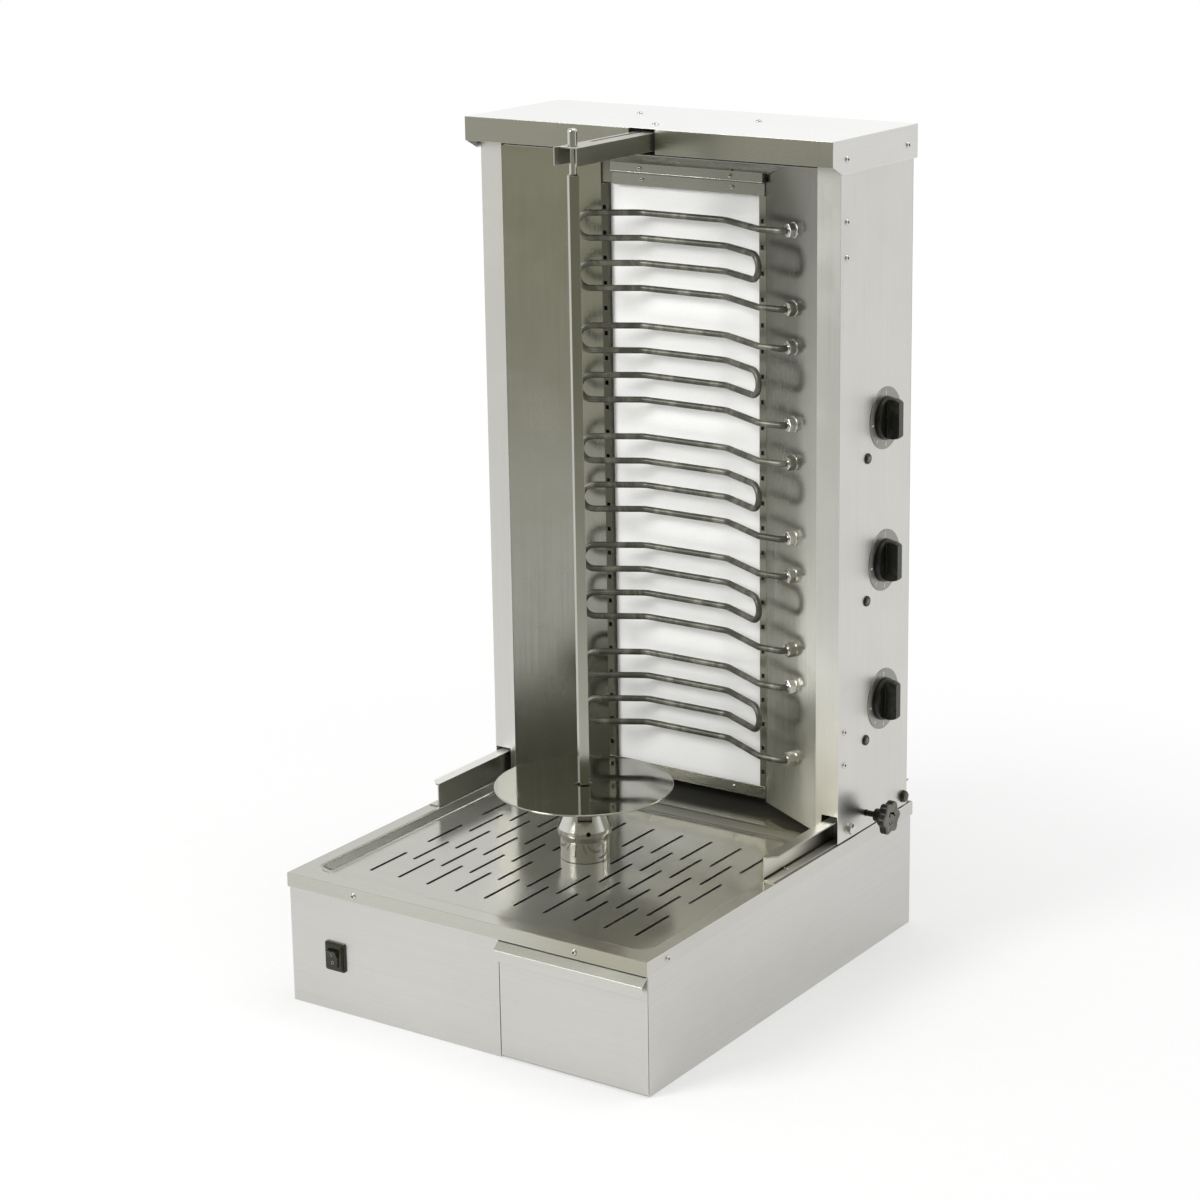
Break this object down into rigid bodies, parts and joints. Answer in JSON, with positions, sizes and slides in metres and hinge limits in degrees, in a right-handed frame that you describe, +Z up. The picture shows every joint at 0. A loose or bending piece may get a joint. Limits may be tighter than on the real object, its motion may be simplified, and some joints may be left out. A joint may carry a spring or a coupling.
{
  "type": "electric skewer grill",
  "caption": "Counter-top electric grill with an upright driven spit and disc, a sliding tower of tube heaters with a reflector recess, side dials, a slotted drip deck and a drawer.",
  "frame": {"origin": "centre of the base's underside, on the surface that it stands on", "axes": "+Z up along the spit, -Y to the front, +X to the right-hand side with the dials"},
  "size_m": [0.5995, 0.6828, 1.117],
  "materials": {
    "body_steel": "satin, fine grain",
    "deck_steel": "polished, nearly a mirror",
    "polished_steel": "polished",
    "reflector_steel": "satin, warm grey",
    "rail_steel": "satin",
    "plain_steel": "plain sheet",
    "fastener_steel": "bright",
    "dark_steel": "blackened",
    "element_sheath": "heat-darkened",
    "panel_board": "matte white",
    "black_plastic": "matte black",
    "rocker_plastic": "gloss black",
    "dial_metal": "satin grey",
    "lamp_lens": "dark lens",
    "cream_plastic": "matte",
    "gear_paint": "satin grey",
    "bush_bronze": "plain"
  },
  "bodies": {
    "base": {"base_shell": "body_steel", "base_plate": "plain_steel", "deck_cover": "deck_steel", "cover_screws": "fastener_steel", "runner_left": "plain_steel", "runner_right": "plain_steel", "gear_motor": "gear_paint", "motor_bracket": "plain_steel", "shaft_bush": "bush_bronze", "switch_housing": "black_plastic", "rail_left": "rail_steel", "rail_right": "rail_steel", "rail_screws": "fastener_steel", "terminal_block": "cream_plastic", "cable_gland": "black_plastic"},
    "tower": {"arm_guide": "rail_steel", "arm_screw": "fastener_steel", "side_panel_left": "body_steel", "side_panel_right": "body_steel", "rear_cover": "body_steel", "tower_cap": "body_steel", "tower_floor": "plain_steel", "tower_ceiling": "plain_steel", "reflector_left": "reflector_steel", "reflector_right": "reflector_steel", "back_panel": "panel_board", "top_trim": "reflector_steel", "bottom_trim": "reflector_steel", "heating_element_1": "element_sheath", "heating_element_2": "element_sheath", "heating_element_3": "element_sheath", "heating_element_4": "element_sheath", "heating_element_5": "element_sheath", "element_glands": "fastener_steel", "dial_plates": "dial_metal", "heat_regulator_1": "cream_plastic", "heat_regulator_2": "cream_plastic", "heat_regulator_3": "cream_plastic", "pilot_lamps": "lamp_lens", "slide_block_left": "plain_steel", "slide_block_right": "plain_steel", "guide_bolts": "fastener_steel", "tower_screws": "fastener_steel", "trim_screws": "fastener_steel"},
    "arm": {"support_arm": "rail_steel"},
    "pin": {"top_pin": "polished_steel"},
    "spindle": {"drive_shaft": "polished_steel", "hub": "polished_steel", "hub_screw": "dark_steel"},
    "skewer": {"spit": "polished_steel", "disc_collar": "plain_steel", "meat_disc": "polished_steel"},
    "drawer": {"drip_drawer": "body_steel"},
    "clamp": {"clamp_knob": "black_plastic"},
    "knob_1": {"control_knob_1": "black_plastic"},
    "knob_2": {"control_knob_2": "black_plastic"},
    "knob_3": {"control_knob_3": "black_plastic"},
    "rocker": {"switch_rocker": "rocker_plastic"}
  },
  "joints": [
    {"name": "tower_slide", "type": "slide", "parent": "base", "child": "tower", "axis": [0, -1, 0], "range_m": [0, 0.1]},
    {"name": "arm_slide", "type": "slide", "parent": "tower", "child": "arm", "axis": [0, 1, 0], "range_m": [0, 0.1]},
    {"name": "pin_lift", "type": "slide", "parent": "arm", "child": "pin", "axis": [0, 0, 1], "range_m": [0, 0.03]},
    {"name": "spit_spin", "type": "hinge", "parent": "base", "child": "spindle", "pos_m": [0, -0.056, 0.2], "axis": [0, 0, 1], "continuous": true},
    {"name": "spit_lift", "type": "slide", "parent": "spindle", "child": "skewer", "axis": [0, 0, 1], "range_m": [0, 0.03]},
    {"name": "drawer_slide", "type": "slide", "parent": "base", "child": "drawer", "axis": [0, -1, 0], "range_m": [0, 0.28]},
    {"name": "clamp_turn", "type": "hinge", "parent": "tower", "child": "clamp", "pos_m": [0.3, 0.2, 0.1987], "axis": [1, 0, 0], "range_deg": [0, 270]},
    {"name": "knob_turn_1", "type": "hinge", "parent": "tower", "child": "knob_1", "pos_m": [0.285, 0.243, 0.346], "axis": [-1, 0, 0], "range_deg": [0, 270]},
    {"name": "knob_turn_2", "type": "hinge", "parent": "tower", "child": "knob_2", "pos_m": [0.285, 0.243, 0.5365], "axis": [-1, 0, 0], "range_deg": [0, 270]},
    {"name": "knob_turn_3", "type": "hinge", "parent": "tower", "child": "knob_3", "pos_m": [0.285, 0.243, 0.727], "axis": [-1, 0, 0], "range_deg": [0, 270]},
    {"name": "switch_rock", "type": "hinge", "parent": "base", "child": "rocker", "pos_m": [-0.2025, -0.3315, 0.076], "axis": [-1, 0, 0], "range_deg": [0, 18]}
  ],
  "couplings": [
    {"joint": "arm_slide", "follows": "tower_slide", "ratio": 1}
  ]
}
